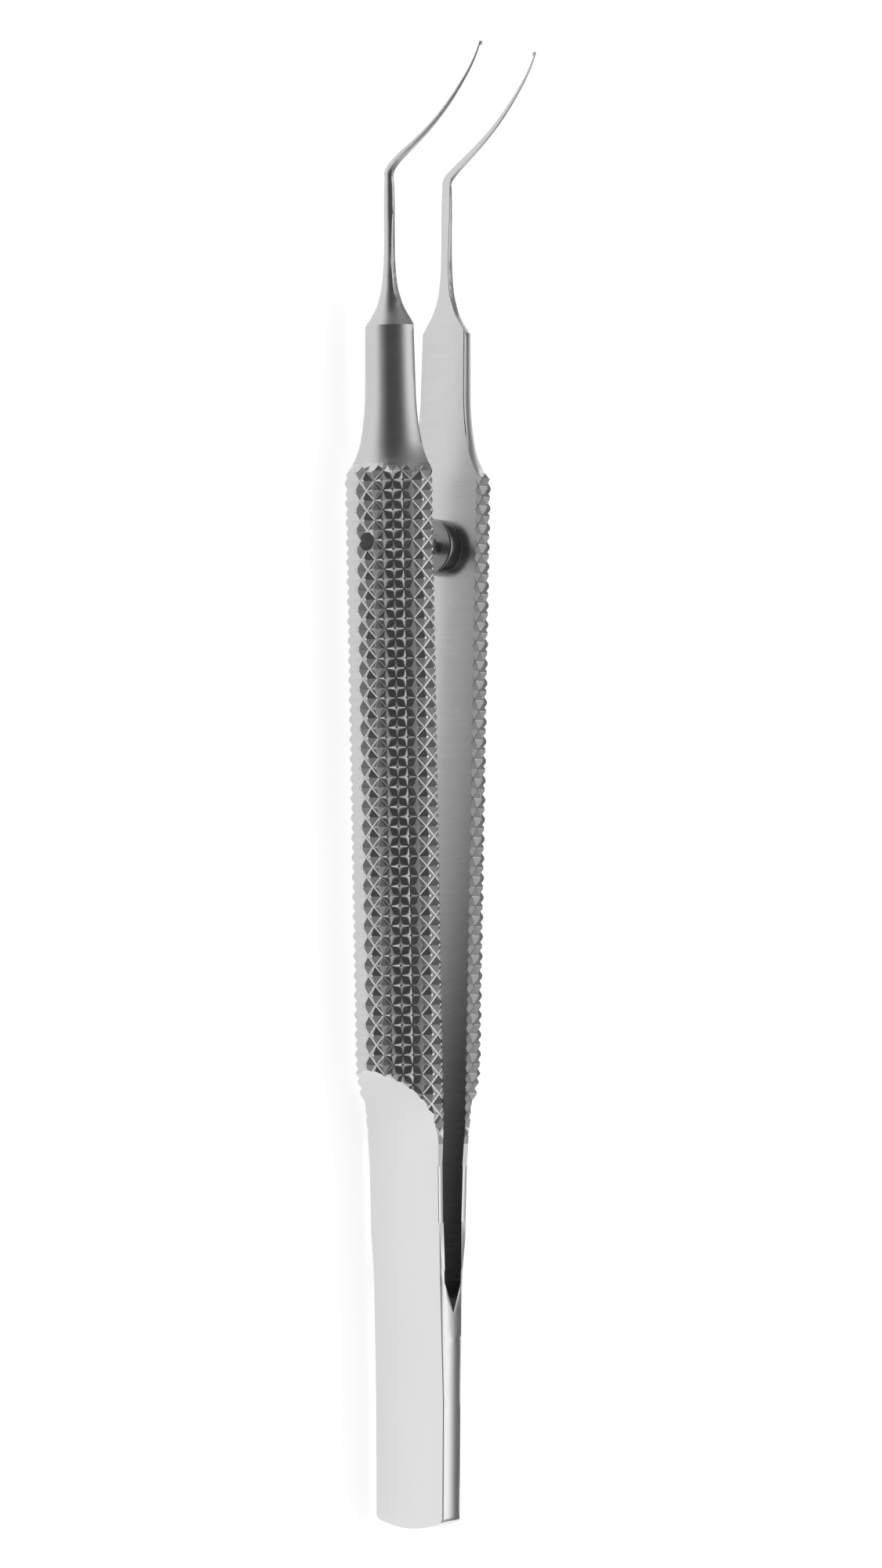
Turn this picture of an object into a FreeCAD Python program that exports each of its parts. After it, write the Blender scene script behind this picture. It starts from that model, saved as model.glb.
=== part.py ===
"""Capsulorhexis forceps lying on its side, in millimetres.

Two half-round arms with a diamond knurled grip are joined at the heel by thin leaf springs.
The far arm carries a stepped guide pin with a stop collar, and the near arm has its guide hole.
+X runs from the heel to the tips, +Y from the far arm to the near arm, and +Z is up, the way
the tips bend. The origin is below the middle of the whole, on the surface it lies on.
"""

import FreeCAD, Part
import math
import os
import Sketcher
from FreeCAD import Placement, Rotation, Vector

doc = FreeCAD.newDocument("capsulorhexis_forceps")

# Driving dimensions. A station is a distance from the end of the heel.
DIMENSIONS = (
    ("overall_length", 108.7, "heel end to tips"),
    ("handle_radius", 3.76, "axis of an arm to the knurl's crests"),
    ("arm_splay", 1.633, "angle of each arm's flat to the middle, degrees"),
    ("leaf_gap_half", 1.045, "middle to the arm's flat at the leaf cut"),
    ("leaf_cut", 22.5, "station of the middle of the leaf springs"),
    ("leaf_thickness", 0.5, "leaf spring at the cut"),
    ("leaf_width_half", 3.28, "half the width of a leaf at the cut"),
    ("ramp_start", 28.4, "station where the milled outer flat starts to rise"),
    ("ramp_radius", 6.0, "radius of the cutter that left the ramp"),
    ("ramp_skew", 0.2, "station shift of the ramp per unit of width"),
    ("knurl_depth", 0.37, "crest to groove crossing"),
    ("knurl_half_pitch", 0.725, "half the length of a diamond"),
    ("knurl_diamonds", 15, "diamonds round a full circle"),
    ("knurl_phase", 70.36, "station of a groove crossing on the top column"),
    ("knurl_start", 26.2, "station where the knurled bar takes over from the plain leaf"),
    ("neck_flare_radius", 5.1, "radius of the flare from the neck to the knurl"),
    ("neck_bow_radius", 22.0, "radius of the neck's slow widening ahead of the flare"),
    ("neck_length", 4.3, "length of the slow widening"),
    ("shank_radius", 2.13, "half-round shank at the neck"),
    ("shank_length", 4.24, "end of the neck to the shoulder"),
    ("shoulder_radius", 2.05, "half-round shank at the shoulder"),
    ("shoulder_from_tip", 20.26, "shoulder to tips"),
    ("rod_radius", 0.42, "back of the rod behind the bend"),
    ("rod_width_half", 0.35, "half the width of the rod behind the bend"),
    ("rod_end_from_tip", 9.23, "start of the bend to tips"),
    ("tip_height", 8.5, "rise of the tips above the rods"),
    ("tooth_height", 0.17, "tooth on the inner face of each tip"),
    ("tooth_length", 0.3, "length of the tooth along the tip"),
    ("tooth_overhang", 0.3, "share by which the tooth is wider than the tip"),
    ("heel_thickness_half", 1.0, "half the thickness of the heel"),
    ("heel_even_length", 9.5, "length of the heel with parallel outer flats"),
    ("heel_outer_rise", 1.285, "middle to the outer flat at the leaf root"),
    ("leaf_root", 18.7, "station of the leaf root"),
    ("slot_apex", 15.9, "station of the point of the relief between the leaves"),
    ("slot_shoulder", 18.1, "station where the relief meets the leaves"),
    ("heel_crown_radius", 3.33, "crowned sides at the heel end"),
    ("root_crown_radius", 3.45, "crowned sides at the leaf root"),
    ("leaf_widening", 0.14, "extra half width of the leaves at their root"),
    ("heel_end_radius", 8.3, "rounded end of the heel"),
    ("heel_corner_radius", 0.4, "corner round of the heel end"),
    ("pin_to_neck", 11.8, "guide pin to the end of the neck"),
    ("collar_radius", 2.1, "stop collar"),
    ("collar_height", 1.2, "stop collar above the far arm's flat"),
    ("collar_chamfer", 0.08, "bevels of the collar's rims"),
    ("pin_radius", 0.5, "guide pin"),
    ("pin_root_radius", 0.75, "cone at the root of the guide pin"),
    ("pin_root_height", 0.4, "height of the cone"),
    ("pin_length", 5.15, "far arm's flat to the end of the guide pin"),
    ("pin_point_length", 0.25, "bevel on the end of the guide pin, along it"),
    ("pin_point_depth", 0.2, "bevel on the end of the guide pin, across it"),
    ("pin_tail_radius", 0.6, "tail pressed into the far arm"),
    ("pin_tail_length", 1.8, "length of the tail"),
    ("press_clearance", 0.01, "gap round the tail and under it"),
    ("guide_hole_radius", 0.68, "guide hole of the near arm"),
    ("guide_hole_offset", 0.05, "guide hole ahead of the guide pin"),
)

sheet = doc.addObject("Spreadsheet::Sheet", "sizes")
for row, (name, number, meaning) in enumerate(DIMENSIONS, start=1):
    sheet.set(f"A{row}", name)
    sheet.set(f"B{row}", str(number))
    sheet.set(f"C{row}", meaning)
    sheet.setAlias(f"B{row}", name)
doc.recompute()


def size(name):
    """A driving dimension, read back from the sheet."""
    return float(sheet.get(name))


def expression_value(text):
    return float(sheet.evalExpression(text))


def expanded(text):
    """An expression of plain aliases with the sheet's name put before each alias."""
    for name, _, _ in sorted(DIMENSIONS, key=lambda entry: -len(entry[0])):
        text = text.replace(f"[{name}]", f"sizes.{name}")
    return text


def origin_plane(body, role):
    """The body's own origin plane with this role."""
    return next(item for item in body.Origin.OriginFeatures if item.Role == role)


def new_sketch(body, name, role):
    sketch = body.newObject("Sketcher::SketchObject", name)
    sketch.AttachmentSupport = [(origin_plane(body, role), "")]
    sketch.MapMode = "FlatFace"
    return sketch


def hold_point(sketch, edge, end, across, up):
    """Binds one end point of an edge to expressions for its two coordinates."""
    for kind, text, axis in (("DistanceX", across, -2), ("DistanceY", up, -1)):
        number = expression_value(expanded(text))
        if text == "0":
            sketch.addConstraint(Sketcher.Constraint("PointOnObject", edge, end, axis))
        elif number > 0:
            index = sketch.addConstraint(Sketcher.Constraint(kind, -1, 1, edge, end, number))
            sketch.setExpression(f"Constraints[{index}]", expanded(text))
        else:
            index = sketch.addConstraint(Sketcher.Constraint(kind, edge, end, -1, 1, -number))
            sketch.setExpression(f"Constraints[{index}]", expanded(f"-({text})"))


def outline(sketch, corners):
    """A closed polygon whose corners are pairs of expressions."""
    points = [Vector(expression_value(expanded(a)), expression_value(expanded(b)), 0) for a, b in corners]
    first = sketch.GeometryCount
    count = len(points)
    for k in range(count):
        sketch.addGeometry(Part.LineSegment(points[k], points[(k + 1) % count]), False)
    for k in range(count):
        following = first + (k + 1) % count
        sketch.addConstraint(Sketcher.Constraint("Coincident", first + k, 2, following, 1))
    for k, (across, up) in enumerate(corners):
        hold_point(sketch, first + k, 1, across, up)


# Height of the arms' axes above the surface: the lowest crests of the knurl touch it.
KNURL_ANGLE = math.pi / size("knurl_diamonds")
LAST_COLUMN = math.ceil(math.pi / 2 / KNURL_ANGLE)
LOWEST_COLUMN_ANGLE = math.floor(math.pi / 2 / KNURL_ANGLE) * KNURL_ANGLE
AXIS_HEIGHT = size("handle_radius") * math.sin(LOWEST_COLUMN_ANGLE)
WHOLE_SHIFT = Vector(-size("overall_length") / 2, 0, AXIS_HEIGHT)

# Stations that follow from the tips' end, so that a longer forceps has a longer grip.
SHOULDER = size("overall_length") - size("shoulder_from_tip")
ROD_END = size("overall_length") - size("rod_end_from_tip")
NECK_END = SHOULDER - size("shank_length")
PIN_STATION = NECK_END - size("pin_to_neck")
PIN_STATION_TEXT = "[overall_length] - [shoulder_from_tip] - [shank_length] - [pin_to_neck]"

# How far a cutting shape runs out past the metal.
OVERRUN = 1.0


def arm_placement(side):
    """Local station axis of an arm, swung out about the leaf cut; side is 1 near and -1 far."""
    swing = Rotation(Vector(0, 0, 1), side * size("arm_splay"))
    move = WHOLE_SHIFT + Vector(0, side * size("leaf_gap_half"), 0)
    return Placement(move, swing, Vector(size("leaf_cut"), 0, 0))


def heel():
    """Welded rear block: two leaf roots round a relief, crowned sides and a rounded end."""
    body = doc.addObject("PartDesign::Body", "heel")
    body.Label = "heel"
    body.Placement = Placement(WHOLE_SHIFT, Rotation())
    cut_x = "[leaf_cut] - [leaf_thickness] * sin([arm_splay] * 1 deg)"
    cut_y = "[leaf_gap_half] + [leaf_thickness] * cos([arm_splay] * 1 deg)"
    slot_y = "[leaf_gap_half] - ([leaf_cut] - [slot_shoulder]) * tan([arm_splay] * 1 deg)"
    side = new_sketch(body, "heel_side_profile", "XY_Plane")
    near_half = [
        ("0", "[heel_thickness_half]"),
        ("[heel_even_length]", "[heel_thickness_half]"),
        ("[leaf_root]", "[heel_outer_rise]"),
        (cut_x, cut_y),
        ("[leaf_cut]", "[leaf_gap_half]"),
        ("[slot_shoulder]", slot_y),
    ]
    far_half = [(across, f"-({up})") for across, up in reversed(near_half)]
    outline(side, near_half + [("[slot_apex]", "0")] + far_half)
    doc.recompute()
    block = body.newObject("PartDesign::Pad", "heel_block")
    block.Profile = side
    block.Midplane = True
    block.setExpression("Length", expanded("4 * [leaf_width_half]"))
    doc.recompute()

    # The crowned sides are what is left of the two round bars.
    crown = new_sketch(body, "heel_crown_profile", "XY_Plane")
    wide = "3 * [leaf_width_half]"
    before = str(-OVERRUN)
    after = f"[leaf_cut] + {OVERRUN}"
    outline(
        crown,
        [
            (before, "[heel_crown_radius]"),
            ("[leaf_root]", "[root_crown_radius]"),
            (after, "[handle_radius]"),
            (after, wide),
            (before, wide),
        ],
    )
    doc.recompute()
    turn = body.newObject("PartDesign::Groove", "heel_crown")
    turn.Profile = crown
    turn.ReferenceAxis = (crown, ["H_Axis"])
    turn.Angle = 360
    doc.recompute()

    # The leaves are narrower than the crown.
    plan = new_sketch(body, "leaf_plan", "XZ_Plane")
    behind = "2 * [slot_apex] - [slot_shoulder]"
    for sign in ("", "-"):
        outline(
            plan,
            [
                (behind, f"{sign}([leaf_width_half] + [leaf_widening])"),
                ("[leaf_cut]", f"{sign}([leaf_width_half])"),
                (after, f"{sign}([leaf_width_half])"),
                (after, f"{sign}({wide})"),
                (behind, f"{sign}({wide})"),
            ],
        )
    doc.recompute()
    narrow = body.newObject("PartDesign::Pocket", "leaf_sides")
    narrow.Profile = plan
    narrow.Type = "ThroughAll"
    narrow.Midplane = True
    doc.recompute()

    # Rounded end seen from the outer flats.
    end = new_sketch(body, "heel_end_plan", "XZ_Plane")
    radius = size("heel_end_radius")
    reach = 2 * size("leaf_width_half")
    edge_x = radius - math.sqrt(radius**2 - reach**2)
    half_angle = math.asin(reach / radius)
    circle = Part.Circle(Vector(radius, 0, 0), Vector(0, 0, 1), radius)
    end.addGeometry(Part.ArcOfCircle(circle, math.pi - half_angle, math.pi + half_angle), False)
    corners = [
        Vector(edge_x, -reach, 0),
        Vector(-OVERRUN, -reach, 0),
        Vector(-OVERRUN, reach, 0),
        Vector(edge_x, reach, 0),
    ]
    for a, b in zip(corners[:-1], corners[1:]):
        end.addGeometry(Part.LineSegment(a, b), False)
    for first, second in (((0, 2), (1, 1)), ((1, 2), (2, 1)), ((2, 2), (3, 1)), ((3, 2), (0, 1))):
        end.addConstraint(Sketcher.Constraint("Coincident", *first, *second))
    end.addConstraint(Sketcher.Constraint("PointOnObject", 0, 3, -1))
    index = end.addConstraint(Sketcher.Constraint("Radius", 0, radius))
    end.setExpression(f"Constraints[{index}]", "sizes.heel_end_radius")
    index = end.addConstraint(Sketcher.Constraint("DistanceX", -1, 1, 0, 3, radius))
    end.setExpression(f"Constraints[{index}]", "sizes.heel_end_radius")
    for line, point in ((2, 1), (0, 2)):
        index = end.addConstraint(Sketcher.Constraint("DistanceY", line, point, -1, 1, reach))
        end.setExpression(f"Constraints[{index}]", "2 * sizes.leaf_width_half")
    for line, point in ((2, 2), (0, 1)):
        index = end.addConstraint(Sketcher.Constraint("DistanceY", -1, 1, line, point, reach))
        end.setExpression(f"Constraints[{index}]", "2 * sizes.leaf_width_half")
    end.addConstraint(Sketcher.Constraint("Vertical", 2))
    end.addConstraint(Sketcher.Constraint("DistanceX", 2, 1, -1, 1, OVERRUN))
    doc.recompute()
    round_end = body.newObject("PartDesign::Pocket", "heel_end")
    round_end.Profile = end
    round_end.Type = "ThroughAll"
    round_end.Midplane = True
    doc.recompute()

    # The two corners of the end run across the thickness.
    thick = size("heel_thickness_half")
    across = []
    for number, edge in enumerate(round_end.Shape.Edges, start=1):
        box = edge.BoundBox
        if box.XMax < size("heel_even_length") / 2 and box.YLength > thick > box.ZLength:
            across.append(f"Edge{number}")
    rounds = body.newObject("PartDesign::Fillet", "heel_corners")
    rounds.Base = (round_end, across)
    rounds.setExpression("Radius", "sizes.heel_corner_radius")
    doc.recompute()
    return body


def polygon_prism(points, travel):
    """A straight prism over a closed polygon."""
    wire = Part.makePolygon(points + [points[0]])
    return Part.Face(wire).extrude(travel)


def edges_prism(edges, travel):
    """A straight prism over a closed outline of edges given in order."""
    return Part.Face(Part.Wire(edges)).extrude(travel)


def joined(points):
    """Straight edges through the points."""
    return [Part.makeLine(a, b) for a, b in zip(points[:-1], points[1:])]


def smooth(points):
    """One smooth edge through the points."""
    curve = Part.BSplineCurve()
    curve.interpolate(points)
    return curve.toShape()


def knurled_bar(side):
    """A bar of raised pyramids between grooves that cross at a right angle.

    Groove crossings and pyramids alternate round the bar and along it, like a chessboard.
    """
    radius = size("handle_radius")
    step = size("knurl_half_pitch")
    groove_radius = radius - size("knurl_depth")
    rear = math.floor((size("knurl_start") - size("knurl_phase")) / step)
    front = math.ceil((KNURL_END - size("knurl_phase")) / step)
    columns = range(-LAST_COLUMN, LAST_COLUMN + 1)
    rows = range(rear, front + 1)

    def outward(column):
        angle = column * KNURL_ANGLE
        return Vector(0, side * math.cos(angle), math.sin(angle))

    def on_bar(column, row_number, distance):
        return Vector(size("knurl_phase") + step * row_number, 0, 0) + outward(column) * distance

    def crossing(column, row_number):
        inside = column in columns and row_number in rows
        return on_bar(column, row_number, groove_radius) if inside else None

    def pyramid(column, row_number):
        """Faces of one pyramid; one at the border of the bar has only its inner faces."""
        apex = on_bar(column, row_number, radius)
        around = [
            crossing(column, row_number + 1),
            crossing(column + 1, row_number),
            crossing(column, row_number - 1),
            crossing(column - 1, row_number),
        ]
        pairs = zip(around, around[1:] + around[:1])
        return [[one, other, apex] for one, other in pairs if one and other]

    def border(places):
        """Points along a border line of the bar, up and down over the pyramids on it."""
        return [
            on_bar(column, row_number, radius if (column + row_number) % 2 else groove_radius)
            for column, row_number in places
        ]

    outlines = []
    for column in columns:
        for row_number in rows:
            if (column + row_number) % 2:
                outlines += pyramid(column, row_number)
    depth = Vector(0, -side * groove_radius / 2, 0)
    ends = [Vector(size("knurl_phase") + step * r, 0, 0) + depth for r in (rows[0], rows[-1])]
    for column in (columns[0], columns[-1]):
        line = border([(column, row_number) for row_number in rows])
        outlines += [[a, b, ends[0]] for a, b in zip(line[:-1], line[1:])]
        outlines.append([line[-1], ends[1], ends[0]])
    for row_number, centre in ((rows[0], ends[0]), (rows[-1], ends[1])):
        line = border([(column, row_number) for column in columns])
        outlines.append(line + [centre])
    faces = [Part.Face(Part.makePolygon(points + [points[0]])) for points in outlines]
    shell = Part.makeShell(faces)
    shell.sewShape()
    bar = Part.makeSolid(shell.Shells[0])
    if bar.Volume < 0:
        bar.reverse()
    return bar


def neck_point(distance):
    """A point of the neck's slow widening, at this distance behind the shank."""
    bow = size("neck_bow_radius")
    rise = bow - math.sqrt(bow**2 - distance**2)
    return Vector(NECK_END - distance, size("shank_radius") + rise, 0)


def flare_point(radius):
    """The point of the flare behind the neck at this distance from the arm's axis."""
    flare = size("neck_flare_radius")
    start = neck_point(size("neck_length"))
    start_angle = math.asin(size("neck_length") / size("neck_bow_radius"))
    angle = math.acos(math.cos(start_angle) - (radius - start.y) / flare)
    return Vector(start.x - flare * (math.sin(angle) - math.sin(start_angle)), radius, 0)


# The knurl's grooves have run out on the flare before this station.
FLARE_START = neck_point(size("neck_length"))
KNURL_END = flare_point((size("handle_radius") - size("knurl_depth") + FLARE_START.y) / 2).x


def taper(thick, shares):
    """Stations ahead of the shoulder, and how thick the arm still is there.

    The shares are of the drop from the shoulder to the rod, at set shares of the taper's length.
    """
    drop = size("shoulder_radius") - thick
    lengths = (0.0, 0.078, 0.132, 0.187, 0.241, 0.35, 0.613, 1.0)
    return [
        (SHOULDER + along * (ROD_END - SHOULDER), thick + share * drop)
        for along, share in zip(lengths, shares)
    ]


def turned_front(side, rear, front):
    """Flared neck, half-round shank, shoulder and concave taper, turned about the arm's axis."""
    outside = 2 * size("handle_radius")
    back = taper(size("rod_radius"), (1.0, 0.656, 0.466, 0.347, 0.256, 0.16, 0.067, 0.0))
    line = [Vector(x, radius, 0) for x, radius in back]
    flare_top = flare_point(size("handle_radius") + size("knurl_depth") / 2)
    flare_middle = flare_point((size("handle_radius") + FLARE_START.y) / 2)
    neck_middle = neck_point(size("neck_length") / 2)
    edges = joined([Vector(ROD_END, 0, 0), Vector(rear, 0, 0), Vector(rear, outside, 0)])
    edges += joined([Vector(rear, outside, 0), Vector(flare_top.x, outside, 0), flare_top])
    edges.append(Part.Arc(flare_top, flare_middle, FLARE_START).toShape())
    edges.append(Part.Arc(FLARE_START, neck_middle, neck_point(0)).toShape())
    edges += joined([neck_point(0), line[0]])
    edges.append(smooth(line))
    edges += joined([line[-1], Vector(ROD_END, 0, 0)])
    profile = Part.Face(Part.Wire(edges))
    solid = profile.revolve(Vector(0, 0, 0), Vector(1, 0, 0), 360)
    return solid.common(slab(side, rear, front))


def slab(side, rear, front):
    """Everything on the outer side of an arm's flat between two stations."""
    reach = 3 * size("handle_radius")
    corner = Vector(rear, 0 if side > 0 else -reach, -reach)
    return Part.makeBox(front - rear, reach, 2 * reach, corner)


def plan_prism(side):
    """The width of an arm seen on its flat, from the narrow leaf to the rod.

    Along the ramp the sides grow from the leaf's width to the full round of the bar.
    """
    leaf = size("leaf_width_half")
    ramp = size("ramp_start")
    reach = size("ramp_radius")
    growth = size("handle_radius") - leaf
    wide = 2 * size("handle_radius")
    shares = (1.0, 0.653, 0.424, 0.27, 0.165, 0.057, 0.018, 0.0)
    front_side = taper(size("rod_width_half"), shares)
    rear_side = [
        (SHOULDER - OVERRUN, wide),
        (ramp + 0.75 * reach, wide),
        (ramp + 0.57 * reach, leaf + 1.2 * growth),
        (ramp + 0.37 * reach, leaf + 0.6 * growth),
        (ramp + 0.17 * reach, leaf + 0.35 * growth),
        (ramp - 0.03 * reach, leaf + 0.18 * growth),
        (ramp - 0.3 * reach, leaf + 0.09 * growth),
        (size("leaf_cut"), leaf),
        (size("leaf_cut") - OVERRUN, leaf),
    ]
    upper = [Vector(x, -side, z) for x, z in front_side]
    lower = [Vector(x, -side, -z) for x, z in reversed(front_side)]
    lower_rear = [Vector(x, -side, -z) for x, z in rear_side]
    upper_rear = [Vector(x, -side, z) for x, z in reversed(rear_side)]
    edges = [smooth(upper)]
    edges += joined([upper[-1], lower[0]])
    edges.append(smooth(lower))
    edges += joined([lower[-1]] + lower_rear + upper_rear + [upper[0]])
    return edges_prism(edges, Vector(0, side * 1.5 * wide, 0))


def ramp_prism(side):
    """What the cutter left: a thin leaf, and a ramp that runs out through the knurl."""
    start = size("ramp_start")
    radius = size("ramp_radius")
    thick = size("leaf_thickness")
    high = 2 * size("handle_radius")
    top_angle = math.acos(1 - (size("handle_radius") + size("knurl_depth")) / radius)

    def on_ramp(angle):
        return Vector(
            start + radius * math.sin(angle), side * (thick + radius * (1 - math.cos(angle))), 0
        )

    front = size("overall_length")
    rear = size("leaf_root")
    edges = joined([Vector(front, 0, 0), Vector(rear, 0, 0), Vector(rear, side * thick, 0), on_ramp(0)])
    edges.append(Part.Arc(on_ramp(0), on_ramp(top_angle / 2), on_ramp(top_angle)).toShape())
    last = on_ramp(top_angle)
    edges += joined([last, Vector(last.x, side * high, 0), Vector(front, side * high, 0)])
    edges += joined([Vector(front, side * high, 0), Vector(front, 0, 0)])
    travel = Vector(-side * size("ramp_skew") * high, 0, high)
    solid = edges_prism(edges, travel * 2)
    solid.translate(travel * -1)
    return solid


def tip_section(side, place, lean, half_width, thickness, inward):
    """A section of rod or tip: flat inner face, two sides and a round back."""
    height = math.sqrt(thickness**2 - half_width**2)
    across = Vector(-math.sin(lean), 0, math.cos(lean))
    base = Vector(place[0], -side * inward, place[1])
    out = Vector(0, side, 0)
    low_in, high_in = base - across * half_width, base + across * half_width
    low_out, high_out = low_in + out * height, high_in + out * height
    edges = joined([low_in, high_in, high_out])
    edges.append(Part.Arc(high_out, base + out * thickness, low_out).toShape())
    edges += joined([low_out, low_in])
    return Part.Wire(edges)


def tip(side):
    """The bend and the slender curved tip, thinning to the tooth."""
    run = size("rod_end_from_tip")
    rise = size("tip_height")
    wide = size("rod_width_half")
    thick = size("rod_radius")
    # Each row: share of the run, share of the rise, direction in degrees, shares of the
    # rod's width and thickness, and how far the inner face is brought to the other tip.
    stations = (
        (0.000, 0.000, 0.0, 1.00, 1.00, 0.000),
        (0.068, 0.018, 26.0, 0.90, 1.00, 0.015),
        (0.120, 0.078, 52.0, 0.70, 1.00, 0.035),
        (0.262, 0.300, 53.0, 0.55, 0.80, 0.100),
        (0.373, 0.462, 50.5, 0.44, 0.66, 0.150),
        (0.542, 0.662, 45.0, 0.35, 0.51, 0.210),
        (0.714, 0.824, 38.0, 0.26, 0.38, 0.260),
        (0.830, 0.916, 32.0, 0.20, 0.30, 0.285),
        (0.948, 0.986, 25.0, 0.15, 0.23, 0.300),
        (1.000, 1.010, 20.0, 0.13, 0.20, 0.300),
    )
    wires = []
    for along, up, lean, width, depth, inward in stations:
        place = (ROD_END + along * run, up * rise)
        wires.append(
            tip_section(side, place, math.radians(lean), width * wide, depth * thick, inward)
        )
    blade = Part.makeLoft(wires, True, False)
    return blade.fuse(tooth(side, stations[-1]))


def tooth(side, last):
    """A small block across the end of the tip, standing towards the other tip."""
    along, up, lean, width, depth, inward = last
    angle = math.radians(lean)
    ahead = Vector(math.cos(angle), 0, math.sin(angle))
    across = Vector(-math.sin(angle), 0, math.cos(angle))
    inner = -side * (inward + size("tooth_height"))
    place = ROD_END + along * size("rod_end_from_tip")
    middle = Vector(place, inner, up * size("tip_height"))
    half = across * (width * size("rod_width_half") * (1 + size("tooth_overhang")))
    back = ahead * -size("tooth_length")
    points = [middle - half, middle + half, middle + half + back, middle - half + back]
    travel = size("tooth_height") + depth * size("rod_radius") / 2
    return polygon_prism(points, Vector(0, side * travel, 0))


def arm_blank(side):
    """One arm without its hole: leaf, knurled grip, neck, shank, taper, rod and tip."""
    grip_start = size("knurl_start")
    plan = plan_prism(side)
    milled = plan.common(ramp_prism(side))
    leaf = milled.common(slab(side, size("leaf_cut"), grip_start))
    envelope = milled.common(turned_front(side, grip_start, KNURL_END))
    grip = knurled_bar(side).common(envelope)
    front = plan.common(turned_front(side, KNURL_END, ROD_END))
    return leaf.multiFuse([grip, front, tip(side)]).removeSplitter()


def arm(name, side, hole_radius, hole_station, hole_depth):
    """An arm with the round hole across it."""
    blank = doc.addObject("Part::Feature", f"{name}_blank")
    blank.Shape = arm_blank(side)
    hole = doc.addObject("Part::Cylinder", f"{name}_hole")
    hole.setExpression("Radius", expanded(hole_radius))
    hole.setExpression("Height", expanded(f"{hole_depth} + {OVERRUN}"))
    across = Rotation(Vector(1, 0, 0), -side * 90)
    hole.Placement = Placement(Vector(0, -side * OVERRUN, 0), across)
    hole.setExpression("Placement.Base.x", expanded(hole_station))
    cut = doc.addObject("Part::Cut", name)
    cut.Base = blank
    cut.Tool = hole
    cut.Label = name
    cut.Placement = arm_placement(side)
    doc.recompute()
    return cut


def guide_pin():
    """Stop collar and guide pin turned in one piece, its tail pressed into the far arm."""
    body = doc.addObject("PartDesign::Body", "guide_pin")
    body.Label = "guide_pin"
    profile = new_sketch(body, "guide_pin_profile", "XY_Plane")
    outline(
        profile,
        [
            ("0", "-[pin_tail_length]"),
            ("[pin_tail_radius]", "-[pin_tail_length]"),
            ("[pin_tail_radius]", "0"),
            ("[collar_radius] - [collar_chamfer]", "0"),
            ("[collar_radius]", "[collar_chamfer]"),
            ("[collar_radius]", "[collar_height] - [collar_chamfer]"),
            ("[collar_radius] - [collar_chamfer]", "[collar_height]"),
            ("[pin_root_radius]", "[collar_height]"),
            ("[pin_radius]", "[collar_height] + [pin_root_height]"),
            ("[pin_radius]", "[pin_length] - [pin_point_length]"),
            ("[pin_radius] - [pin_point_depth]", "[pin_length]"),
            ("0", "[pin_length]"),
        ],
    )
    doc.recompute()
    turn = body.newObject("PartDesign::Revolution", "guide_pin_turned")
    turn.Profile = profile
    turn.ReferenceAxis = (profile, ["V_Axis"])
    turn.Angle = 360
    along = Placement(Vector(PIN_STATION, 0, 0), Rotation())
    body.Placement = arm_placement(-1).multiply(along)
    doc.recompute()
    return body


pieces = [
    heel(),
    arm(
        "near_arm",
        1,
        "[guide_hole_radius]",
        f"{PIN_STATION_TEXT} + [guide_hole_offset]",
        "1.5 * [handle_radius]",
    ),
    arm(
        "far_arm",
        -1,
        "[pin_tail_radius] + [press_clearance]",
        PIN_STATION_TEXT,
        "[pin_tail_length] + [press_clearance]",
    ),
    guide_pin(),
]
doc.recompute()

os.makedirs("parts", exist_ok=True)
for item in doc.Objects:
    if "Invalid" in item.State or "Error" in item.State:
        raise RuntimeError(f"{item.Name} didn't recompute: {item.State}")
for piece in pieces:
    if piece.Shape.isNull() or not piece.Shape.isValid() or len(piece.Shape.Solids) != 1:
        raise RuntimeError(f"{piece.Label} isn't one valid solid")
    piece.Shape.exportStep(f"parts/{piece.Label}.step")
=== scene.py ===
import math

import bpy
from mathutils import Matrix, Vector


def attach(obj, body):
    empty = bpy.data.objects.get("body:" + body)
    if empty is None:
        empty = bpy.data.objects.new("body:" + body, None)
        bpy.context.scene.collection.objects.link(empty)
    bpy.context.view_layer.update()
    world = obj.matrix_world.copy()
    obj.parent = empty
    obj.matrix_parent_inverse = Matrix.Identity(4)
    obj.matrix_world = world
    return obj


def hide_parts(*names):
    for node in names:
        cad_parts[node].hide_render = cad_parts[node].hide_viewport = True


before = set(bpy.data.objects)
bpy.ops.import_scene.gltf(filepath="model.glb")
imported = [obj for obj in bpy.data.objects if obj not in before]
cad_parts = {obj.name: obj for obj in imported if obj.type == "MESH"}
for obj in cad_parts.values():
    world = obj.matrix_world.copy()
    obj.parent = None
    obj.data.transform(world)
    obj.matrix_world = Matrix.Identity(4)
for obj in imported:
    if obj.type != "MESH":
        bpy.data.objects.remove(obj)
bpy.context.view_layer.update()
bpy.ops.object.select_all(action="DESELECT")


# Arms. Each is a half-round bar of stainless steel, turned to a satin shine, knurled with two
# sets of crossing grooves and ground flat inside. Its rear is milled to a ramp and a thin leaf,
# and the two leaves are welded together at the heel.

# Stations along an arm, distances outward from its flat and heights over its axis are in mm.
# Places along the model's X axis and the widths of bevels are in metres.
MM_PER_M = 1000
LENGTH = 108.7
HINGE_STATION = 22.5
LEAF_GAP = 1.045
SPLAY = math.radians(1.633)
AXIS_HEIGHT = 3.7394


def arm_place(point, side):
    """Station along the arm, distance outward from its flat, and height over its axis."""
    x = point.x * MM_PER_M + LENGTH / 2 - HINGE_STATION
    y = side * point.y * MM_PER_M - LEAF_GAP
    station = HINGE_STATION + x * math.cos(SPLAY) + y * math.sin(SPLAY)
    outward = y * math.cos(SPLAY) - x * math.sin(SPLAY)
    return station, outward, point.z * MM_PER_M - AXIS_HEIGHT


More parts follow.
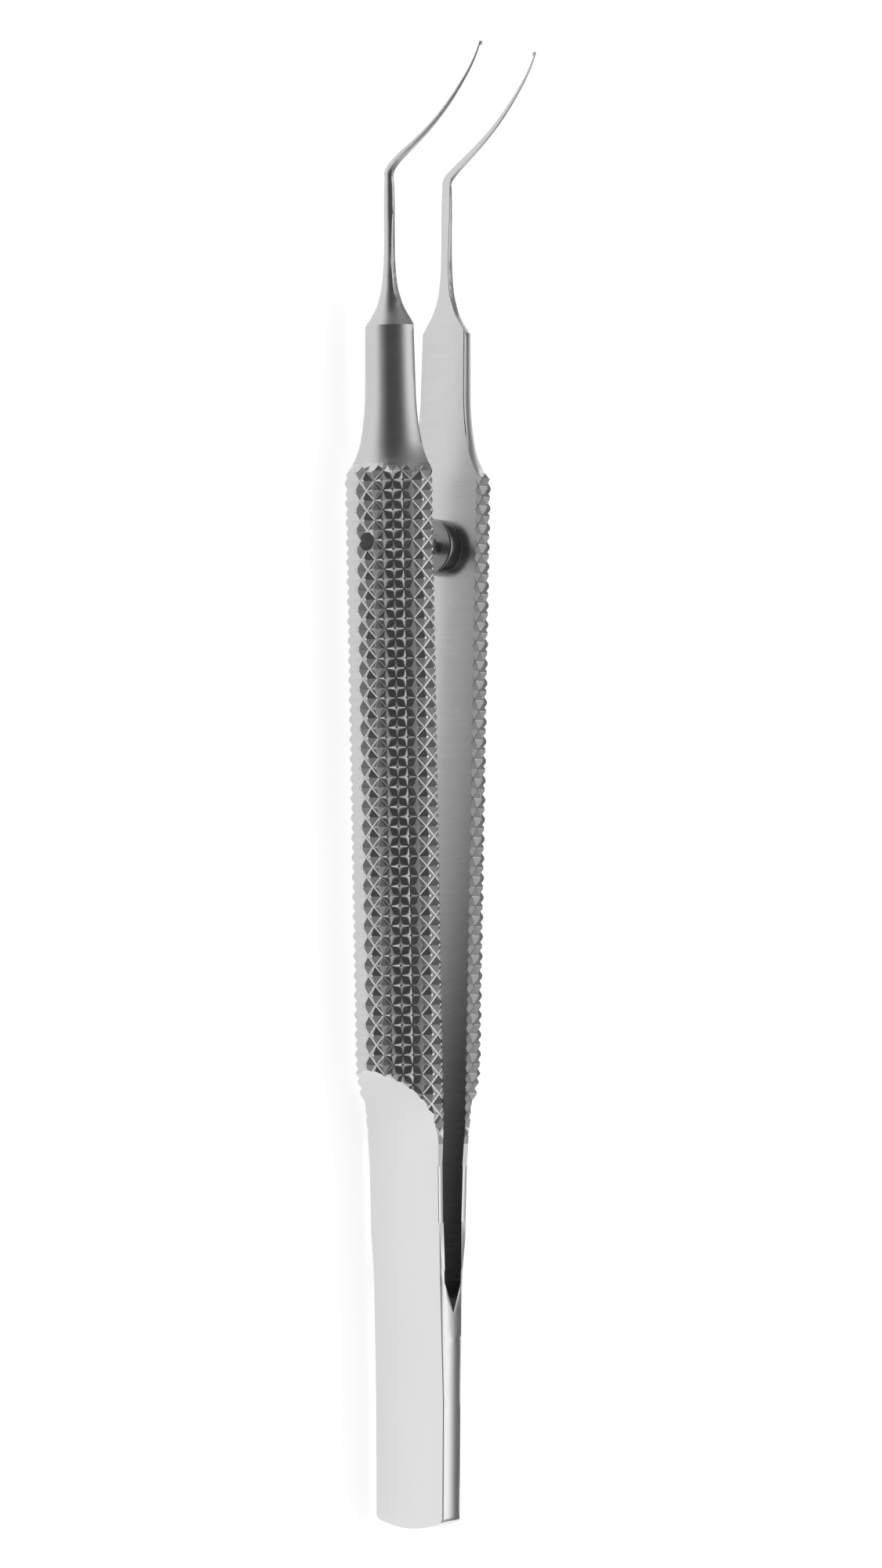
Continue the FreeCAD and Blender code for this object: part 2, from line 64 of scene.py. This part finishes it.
def radius_of(vertex, side):
    """Distance of a corner from the arm's axis, in mm."""
    station, outward, height = arm_place(vertex.co, side)
    return math.hypot(outward, height)


def move_to_radius(vertex, side, radius):
    """Moves a corner straight away from the arm's axis, or towards it."""
    station, outward, height = arm_place(vertex.co, side)
    share = radius / math.hypot(outward, height) - 1
    vertex.co.x += math.sin(SPLAY) * outward * share / MM_PER_M
    vertex.co.y += side * math.cos(SPLAY) * outward * share / MM_PER_M
    vertex.co.z += height * share / MM_PER_M


GUIDE_HOLE = 72.45
GUIDE_HOLE_RADIUS = 0.68
HOLE_RIM = 0.02


def in_guide_hole(station, height):
    """Whether a place is in the hole for the guide pin, or on its rim."""
    return math.hypot(station - GUIDE_HOLE, height) < GUIDE_HOLE_RADIUS + HOLE_RIM


LEAF_THICKNESS = 0.5
RAMP_START = 28.4
RAMP_RADIUS = 6
RAMP_SKEW = 0.2
CLEAR_OF_BAR = 7.52


def ramp_outward(station, height, side):
    """How far outward from the ground flat the milled leaf and its ramp lie."""
    along = station + side * RAMP_SKEW * height - RAMP_START
    if along > RAMP_RADIUS:
        return CLEAR_OF_BAR
    return LEAF_THICKNESS + RAMP_RADIUS - math.sqrt(RAMP_RADIUS**2 - max(along, 0) ** 2)


GRIP_START, GRIP_END = 28.3, 77.4
FLAT_MARGIN = 0.05
RAMP_MARGIN = 0.03


def on_grip(vertex, side):
    """Whether a corner is on the knurl, clear of the flat, the ramp, the flare and the hole."""
    station, outward, height = arm_place(vertex.co, side)
    below_ramp = FLAT_MARGIN < outward < ramp_outward(station, height, side) - RAMP_MARGIN
    return GRIP_START < station < GRIP_END and below_ramp and not in_guide_hole(station, height)


def select_knurl_edges(mesh, side, lower_end, higher_end):
    """Selects the knurl's edges whose two ends have radii in these ranges."""
    for edge in mesh.edges:
        ends = [mesh.vertices[number] for number in edge.vertices]
        low, high = sorted(radius_of(end, side) for end in ends)
        chosen = lower_end[0] < low < lower_end[1] and higher_end[0] < high < higher_end[1]
        edge.select = chosen and any(on_grip(end, side) for end in ends)


def bevel_selected(width, kind="EDGE", segments=1):
    """Bevels the corners or edges that were selected by their places."""
    bpy.context.tool_settings.mesh_select_mode = (kind == "VERT", kind == "EDGE", False)
    bpy.ops.object.mode_set(mode="EDIT")
    affect = {"VERT": "VERTICES", "EDGE": "EDGES"}[kind]
    bpy.ops.mesh.bevel(offset=width, offset_type="OFFSET", segments=segments, affect=affect)
    bpy.ops.mesh.select_all(action="DESELECT")
    bpy.ops.object.mode_set(mode="OBJECT")


LENGTHWISE = 0.6
SHARP = math.radians(40)


def break_edges(part, width, along):
    """Rounds the sharp lengthwise edges of a piece wherever along(x) is true."""
    faces_at = {}
    for face in part.data.polygons:
        for key in face.edge_keys:
            faces_at.setdefault(key, []).append(face)
    for edge in part.data.edges:
        faces = faces_at[edge.key]
        ends = [part.data.vertices[number].co for number in edge.vertices]
        lengthwise = abs(ends[0].x - ends[1].x) > LENGTHWISE * (ends[0] - ends[1]).length
        sharp = faces[0].normal.angle(faces[-1].normal) > SHARP
        edge.select = lengthwise and sharp and along(ends[0].x) and along(ends[1].x)
    bevel_selected(width, segments=2)


MERGE_DISTANCE = 0.000002
SAME_PLANE = math.radians(0.4)


def finished_copy(node_name, name):
    """A merged copy of a solid, whose flats are whole faces again, to be finished by hand."""
    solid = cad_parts[node_name]
    copy = bpy.data.objects.new(name, solid.data.copy())
    bpy.context.collection.objects.link(copy)
    bpy.context.view_layer.objects.active = copy
    copy.select_set(True)
    bpy.ops.mesh.customdata_custom_splitnormals_clear()
    bpy.ops.object.mode_set(mode="EDIT")
    bpy.ops.mesh.select_all(action="SELECT")
    bpy.ops.mesh.remove_doubles(threshold=MERGE_DISTANCE)
    bpy.ops.mesh.dissolve_limited(angle_limit=SAME_PLANE)
    bpy.ops.mesh.select_all(action="DESELECT")
    bpy.ops.object.mode_set(mode="OBJECT")
    copy.data.materials.clear()
    return copy


class Wire:
    """A shader socket that can be reckoned with like a number."""

    def __init__(self, tree, socket):
        self.tree = tree
        self.socket = socket

    def make(self, kind, settings=None, inputs=None):
        return make_node(self.tree, kind, settings, inputs)

    def maths(self, operation, *values):
        return self.make("ShaderNodeMath", {"operation": operation}, dict(enumerate(values)))[0]

    def ramp(self, low, high, low_value=0.0, high_value=1.0):
        """Goes smoothly from low_value to high_value while the wire goes from low to high."""
        ends = {"From Min": low, "From Max": high, "To Min": low_value, "To Max": high_value}
        smooth = {"interpolation_type": "SMOOTHSTEP"}
        return self.make("ShaderNodeMapRange", smooth, {"Value": self, **ends})[0]

    def noise(self, scale, detail):
        inputs = {"Vector": self, "Scale": scale, "Detail": detail}
        return self.make("ShaderNodeTexNoise", None, inputs)[0]

    def axes(self):
        return self.make("ShaderNodeSeparateXYZ", None, {0: self})

    def __add__(self, other):
        return self.maths("ADD", self, other)

    def __radd__(self, other):
        return self.maths("ADD", other, self)

    def __sub__(self, other):
        return self.maths("SUBTRACT", self, other)

    def __rsub__(self, other):
        return self.maths("SUBTRACT", other, self)

    def __mul__(self, other):
        return self.maths("MULTIPLY", self, other)

    def __rmul__(self, other):
        return self.maths("MULTIPLY", other, self)

    def __truediv__(self, other):
        return self.maths("DIVIDE", self, other)

    def __rtruediv__(self, other):
        return self.maths("DIVIDE", other, self)

    def __pow__(self, other):
        return self.maths("POWER", self, other)

    def __rpow__(self, other):
        return self.maths("POWER", other, self)


def make_node(tree, kind, settings=None, inputs=None):
    """Adds a node, with its settings set first and then its inputs, and gives its outputs."""
    made = tree.nodes.new(kind)
    for name, value in (settings or {}).items():
        setattr(made, name, value)
    for name, value in (inputs or {}).items():
        if isinstance(value, Wire):
            tree.links.new(value.socket, made.inputs[name])
        else:
            made.inputs[name].default_value = value
    return [Wire(tree, output) for output in made.outputs if output.enabled]


def object_place(tree):
    """Where a point lies in its piece's own mesh, which is its place on the model at rest."""
    generated, normal, uv, place = make_node(tree, "ShaderNodeTexCoord")[:4]
    return place


def new_steel(name):
    """A bare metal material, with the place on its piece."""
    material = bpy.data.materials.new(name)
    material.use_nodes = True
    material.node_tree.nodes["Principled BSDF"].inputs["Metallic"].default_value = 1
    return material, object_place(material.node_tree)


def cover(material, shade, roughness, height, strength, depth):
    """Gives a steel its grey, its roughness, and scratches that follow a height."""
    shader = material.node_tree.nodes["Principled BSDF"]
    colour = shade.make("ShaderNodeCombineColor", None, {0: shade, 1: shade, 2: shade})[0]
    scratches = {"Strength": strength, "Distance": depth, "Height": height}
    bump = shade.make("ShaderNodeBump", None, scratches)[0]
    for wire, name in ((colour, "Base Color"), (roughness, "Roughness"), (bump, "Normal")):
        material.node_tree.links.new(wire.socket, shader.inputs[name])


GRIND_SCALE, GRIND_ROUGHNESS = 2500, 0.12
CLOUD_SCALE, CLOUD_ROUGHNESS, CLOUD_SHADE = 160, 0.1, 0.05
NOISE_MIDDLE = 0.5


def steel(name, grey, rough, lines, grain, painted_shade_span=None):
    """Stainless steel with grind lines, which are drawn out along the small numbers of grain.

    The grey can darken from one x to another, from one share of it to another: painted shade.
    """
    material, place = new_steel(name)
    drawn = place.make("ShaderNodeMapping", None, {"Vector": place, "Scale": grain})[0]
    height = drawn.noise(GRIND_SCALE, 4)
    line = height - NOISE_MIDDLE
    cloud = place.noise(CLOUD_SCALE, 3) - NOISE_MIDDLE
    shade = line * lines + cloud * CLOUD_SHADE + grey
    # Painted shade: the grey darkens along x.
    if painted_shade_span:
        x, y, z = place.axes()
        shade = shade * x.ramp(*painted_shade_span)
    roughness = line * GRIND_ROUGHNESS + cloud * CLOUD_ROUGHNESS + rough
    cover(material, shade, roughness, height, strength=0.12, depth=0.00001)
    return material


# How fast the grind changes along X, Y and Z, with its lines along the arm, across or round it.
ALONG = (0.05, 1, 1)
ACROSS = (1, 0.06, 0.06)
ROUND = (1, 0.15, 0.15)
# The ground flats darken towards the heel, where the gap between the arms narrows: painted
# shade.
GROUND_PAINTED_SHADE = (-0.036, 0.004, 0.55, 1.0)

arm_steels = (
    steel("turned_satin", grey=0.62, rough=0.34, lines=0.06, grain=ROUND),
    steel("ground_flat_painted_shade", grey=0.61, rough=0.26, lines=0.08, grain=ACROSS, painted_shade_span=GROUND_PAINTED_SHADE),
    steel("polished_flat", grey=0.72, rough=0.18, lines=0.03, grain=ALONG),
    steel("cut_knurl", grey=0.62, rough=0.2, lines=0.04, grain=(1, 1, 1)),
    # The guide hole's wall is rough, and its grey, far above the other steels', is painted
    # light in the hole.
    steel("reamed_hole_painted_light", grey=0.85, rough=0.6, lines=0.05, grain=(1, 0.1, 1)),
    # The leaves' sides are dressed and rougher, and their near-white grey is a painted
    # highlight.
    steel("leaf_side_painted_highlight", grey=0.95, rough=0.42, lines=0.04, grain=ALONG),
)
TURNED, GROUND, POLISHED, KNURLED, LIGHTENED_HOLE, HIGHLIT_SIDE = range(len(arm_steels))

# Radii of the knurl in the solid (its points and grooves) and as finished (its flat tops).
CREST = 3.76
GROOVE = 3.39
TOP = 3.745
POINTS = (CREST - 0.012, CREST + 0.012)
RIDGE_FOOT = (GROOVE - 0.006, GROOVE + 0.006)
RIDGE_HEAD = (CREST - 0.16, CREST - 0.03)
GROOVE_ENDS = (GROOVE - 0.02, GROOVE + 0.03)
GROOVE_SIDES = (GROOVE - 0.03, GROOVE + 0.07)
TOP_CORNERS = (CREST - 0.12, CREST)
TOP_WIDTH = 0.00013
RIDGE_BREAK = 0.000012
GROOVE_LAND = 0.00006

# Edges are broken by these widths between these places along X.
EDGE_BREAK = 0.00006
SHANK_BREAK = 0.0001
LEAF_CUT, RAMP_FOOT = -0.03187, -0.0277
SHANK = (0.0252, 0.0341)
ROD = (0.036, 0.0447)

# A face's facing is 1 where it is turned straight outward and -1 where it is turned inward.
FACES_INWARD = -0.98
FLAT_DEPTH = 0.35
RAMP_END = 36
BAR_REAR, BAR_FRONT = 26, 79.2
BAR_CORE = 3.2
SMOOTH_ANGLE = math.radians(30)

for node_name, side in (("near_arm", 1), ("far_arm", -1)):
    arm = finished_copy(node_name, f"finished_{node_name}")
    mesh = arm.data

    # The points of the diamonds are dressed flat, and their ridges are broken.
    for vertex in mesh.vertices:
        at_point = POINTS[0] < radius_of(vertex, side) < POINTS[1]
        vertex.select = at_point and on_grip(vertex, side)
    bevel_selected(TOP_WIDTH, "VERT")
    select_knurl_edges(mesh, side, RIDGE_FOOT, RIDGE_HEAD)
    bevel_selected(RIDGE_BREAK)

    # The bottoms of the grooves are as wide as the land of the knurling wheel's teeth.
    select_knurl_edges(mesh, side, GROOVE_ENDS, GROOVE_ENDS)
    bevel_selected(GROOVE_LAND)

    # The sides between the tops and the bottoms are as steep as those teeth.
    for vertex in mesh.vertices:
        radius = radius_of(vertex, side)
        if not on_grip(vertex, side):
            continue
        if GROOVE_SIDES[0] < radius < GROOVE_SIDES[1]:
            move_to_radius(vertex, side, GROOVE)
        elif TOP_CORNERS[0] < radius < TOP_CORNERS[1]:
            move_to_radius(vertex, side, TOP)

    # The long edges of the leaf, the rod and the shank are broken by hand.
    break_edges(arm, EDGE_BREAK, lambda x: LEAF_CUT <= x < RAMP_FOOT or ROD[0] < x < ROD[1])
    break_edges(arm, SHANK_BREAK, lambda x: SHANK[0] < x < SHANK[1])

    for material in arm_steels:
        mesh.materials.append(material)
    bpy.ops.object.shade_smooth_by_angle(angle=SMOOTH_ANGLE)
    for face in mesh.polygons:
        station, outward, height = arm_place(face.center, side)
        facing = side * face.normal.y
        ramp = ramp_outward(station, height, side)
        if facing < FACES_INWARD and outward < FLAT_DEPTH:
            face.material_index = GROUND
            face.use_smooth = False
        elif station < RAMP_END and facing > 0.2 and abs(outward - ramp) < RAMP_MARGIN:
            face.material_index = POLISHED
            face.use_smooth = ramp > LEAF_THICKNESS + 0.001
        elif BAR_REAR < station < BAR_FRONT and math.hypot(outward, height) > BAR_CORE:
            face.material_index = KNURLED
            face.use_smooth = False
        # The sides of the leaf take the near-white grey of a painted highlight.
        if station < RAMP_START + 0.1 and abs(facing) < 0.9:
            if face.material_index in (TURNED, KNURLED):
                face.material_index = HIGHLIT_SIDE
        # The wall of the guide hole takes the lighter grey of painted light.
        if side == 1 and in_guide_hole(station, height) and abs(facing) < 0.3:
            face.material_index = LIGHTENED_HOLE
            face.use_smooth = True
    arm.select_set(False)
    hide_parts(node_name)
    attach(arm, node_name)


# Guide pin. The collar stops the arms and the pin keeps them in line; it is turned from one
# bar of stainless steel and its tail is pressed into the far arm.
PIN_X = 0.01805
PIN_Z = 0.00374
RINGS_PER_METRE = 9000
PIN_EDGE_BREAK = 0.00005
RIM_ANGLE = math.radians(35)
ROUND_ANGLE = math.radians(25)

pin = finished_copy("guide_pin", "turned_guide_pin")
pin_steel, place = new_steel("turned_pin_painted_shade")
x, y, z = place.axes()
from_axis = ((x - PIN_X) ** 2 + (z - PIN_Z) ** 2) ** 0.5
rings = {0: from_axis * RINGS_PER_METRE, 1: y * RINGS_PER_METRE}
ring = place.make("ShaderNodeCombineXYZ", None, rings)[0].noise(1, 2)
# The rings follow the real turning marks; the grey, far below the arms' steel, is painted shade
# of the collar between the arms.
shade = ring * 0.3 + 0.22
roughness = ring * 0.2 + 0.15
cover(pin_steel, shade, roughness, height=ring, strength=0.3, depth=0.00003)
pin.data.materials.append(pin_steel)
bpy.ops.object.mode_set(mode="EDIT")
bpy.ops.mesh.select_mode(type="EDGE")
bpy.ops.mesh.edges_select_sharp(sharpness=RIM_ANGLE)
bpy.ops.object.mode_set(mode="OBJECT")
bevel_selected(PIN_EDGE_BREAK, segments=2)
bpy.ops.object.shade_smooth_by_angle(angle=ROUND_ANGLE)
for face in pin.data.polygons:
    face.use_smooth = abs(face.normal.y) < 0.999
pin.select_set(False)
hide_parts("guide_pin")
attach(pin, "far_arm")


# Heel. The rear ends of the two bars are welded together, and the outer flats are milled and
# polished in one with the leaves. A relief runs to a point between the leaf roots.
LEAF_ROOT = -0.0363

heel = finished_copy("heel", "polished_heel")
break_edges(heel, EDGE_BREAK, lambda x: x < LEAF_CUT)
heel_steels = (
    arm_steels[POLISHED],
    # The relief's dark grey carries on the ground flats' painted shade between the leaf roots.
    steel("ground_relief_painted_shade", grey=0.34, rough=0.26, lines=0.08, grain=ACROSS),
    # The leaf sides share the arms' painted highlight.
    arm_steels[HIGHLIT_SIDE],
)
OUTER, SHADED_RELIEF, LEAF_SIDE = range(len(heel_steels))
for material in heel_steels:
    heel.data.materials.append(material)
bpy.ops.object.shade_smooth_by_angle(angle=SMOOTH_ANGLE)
for face in heel.data.polygons:
    inside = face.center.y * face.normal.y < 0 and abs(face.normal.y) > 0.5
    leaf_side = face.center.x > LEAF_ROOT and abs(face.normal.y) < 0.9
    face.material_index = SHADED_RELIEF if inside else LEAF_SIDE if leaf_side else OUTER
    face.use_smooth = abs(face.normal.y) < 0.995
heel.select_set(False)
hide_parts("heel")
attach(heel, "heel")


# The table that the forceps lies on: a plain white sheet. Out on the near side, under the
# studio's opening, it is dark in the steel's reflections.
CAMERA_RAY, GLOSSY_RAY, TRANSMISSION_RAY = 0, 3, 6
SHEET_WHITE = 0.83
SHEET_MIRRORED = 0.85
LIT_TO, DARK_FROM = 0.008, 0.026
LESS_WHERE_DARK = 0.9

bpy.ops.mesh.primitive_plane_add(size=3)
table = bpy.context.object
table.name = "white_table"
sheet = bpy.data.materials.new("white_sheet")
sheet.use_nodes = True
tree = sheet.node_tree
tree.nodes.remove(tree.nodes["Principled BSDF"])
rays = make_node(tree, "ShaderNodeLightPath")
x, y, z = object_place(tree).axes()
lit = 1 - y.ramp(LIT_TO, DARK_FROM) * LESS_WHERE_DARK
mirrored = lit.maths("MAXIMUM", rays[GLOSSY_RAY], rays[TRANSMISSION_RAY])
strength = rays[CAMERA_RAY] * SHEET_WHITE + mirrored * lit * SHEET_MIRRORED
white = {"Color": (1, 1, 1, 1), "Strength": strength}
glow = lit.make("ShaderNodeEmission", None, white)[0]
matt = lit.make("ShaderNodeBsdfDiffuse", None, {"Color": (0.5, 0.5, 0.5, 1)})[0]
both = lit.make("ShaderNodeAddShader", None, {0: glow, 1: matt})[0]
tree.links.new(both.socket, tree.nodes["Material Output"].inputs["Surface"])
table.data.materials.append(sheet)


# The studio: a white tent along the forceps. Its opening over the near side, its far wall and
# its ends are dark, and polished steel shows them as dark bands between light ones.
OPENING_Y, OPENING_Z = 0.768, 0.640
TENT = 1.15
LESS_BEHIND = 1.05
LESS_AT_ENDS = 0.85
EVERYWHERE = 0.08
MORE_AT_HEEL_END = 0.17
MORE_OVER_ENDS = 0.12

world = bpy.data.worlds.new("studio")
bpy.context.scene.world = world
world.use_nodes = True
tree = world.node_tree
direction = make_node(tree, "ShaderNodeTexCoord")[0]
x, y, z = direction.axes()

# Each mask rises from 0 to 1 between two cosines of the direction that is lit.
radial = (y * y + z * z) ** 0.5 + 0.02
opening = ((y * OPENING_Y + z * OPENING_Z) / radial).ramp(0.45, 0.86)
behind = ((0 - y) / radial).ramp(0.45, 0.9)
ends = x.maths("ABSOLUTE", x).ramp(0.3, 0.7)
heel_end = (0 - x).ramp(0.4, 0.75)
over_ends = ends * (1 - y.ramp(0.2, 0.5))
walls = (TENT - behind * LESS_BEHIND) * (1 - opening) * (1 - ends * LESS_AT_ENDS)
level = walls + EVERYWHERE + heel_end * MORE_AT_HEEL_END + over_ends * MORE_OVER_ENDS
seen = make_node(tree, "ShaderNodeLightPath")[CAMERA_RAY]
background = tree.nodes["Background"]
tree.links.new((seen + (1 - seen) * level).socket, background.inputs["Strength"])
background.inputs["Color"].default_value = (1, 1, 1, 1)


# The camera stands over the near side, a little towards the heel, with the tips at the top of
# the picture. Its frame and centre are in the photograph's pixels, and its places in metres.
FRAME_WIDTH, FRAME_HEIGHT = 1125, 2000
CENTRE_ACROSS, CENTRE_DOWN = 533.391, 995.436
FOCAL_LENGTH = 7236
ELEVATION = math.radians(39.797)
PITCH = math.radians(-2.3814)
DISTANCE = 0.4195
AIM = Vector((0.00065, 0, 0.00374))

right = Vector((0, -math.sin(ELEVATION), math.cos(ELEVATION)))
level_out = Vector((0, math.cos(ELEVATION), math.sin(ELEVATION)))
out = level_out * math.cos(PITCH) + Vector((math.sin(PITCH), 0, 0))
up = Vector((math.cos(PITCH), 0, 0)) - level_out * math.sin(PITCH)
lens = bpy.data.cameras.new("camera")
lens.sensor_fit = "VERTICAL"
lens.sensor_height = 24
lens.lens = lens.sensor_height * FOCAL_LENGTH / FRAME_HEIGHT
lens.shift_x = (FRAME_WIDTH / 2 - CENTRE_ACROSS) / FRAME_HEIGHT
lens.shift_y = (CENTRE_DOWN - FRAME_HEIGHT / 2) / FRAME_HEIGHT
lens.clip_start = 0.01
camera = bpy.data.objects.new("camera", lens)
bpy.context.collection.objects.link(camera)
turned = Matrix((right, up, out)).transposed().to_4x4()
camera.matrix_world = Matrix.Translation(AIM + out * DISTANCE) @ turned
bpy.context.scene.camera = camera
bpy.context.scene.view_settings.view_transform = "Standard"
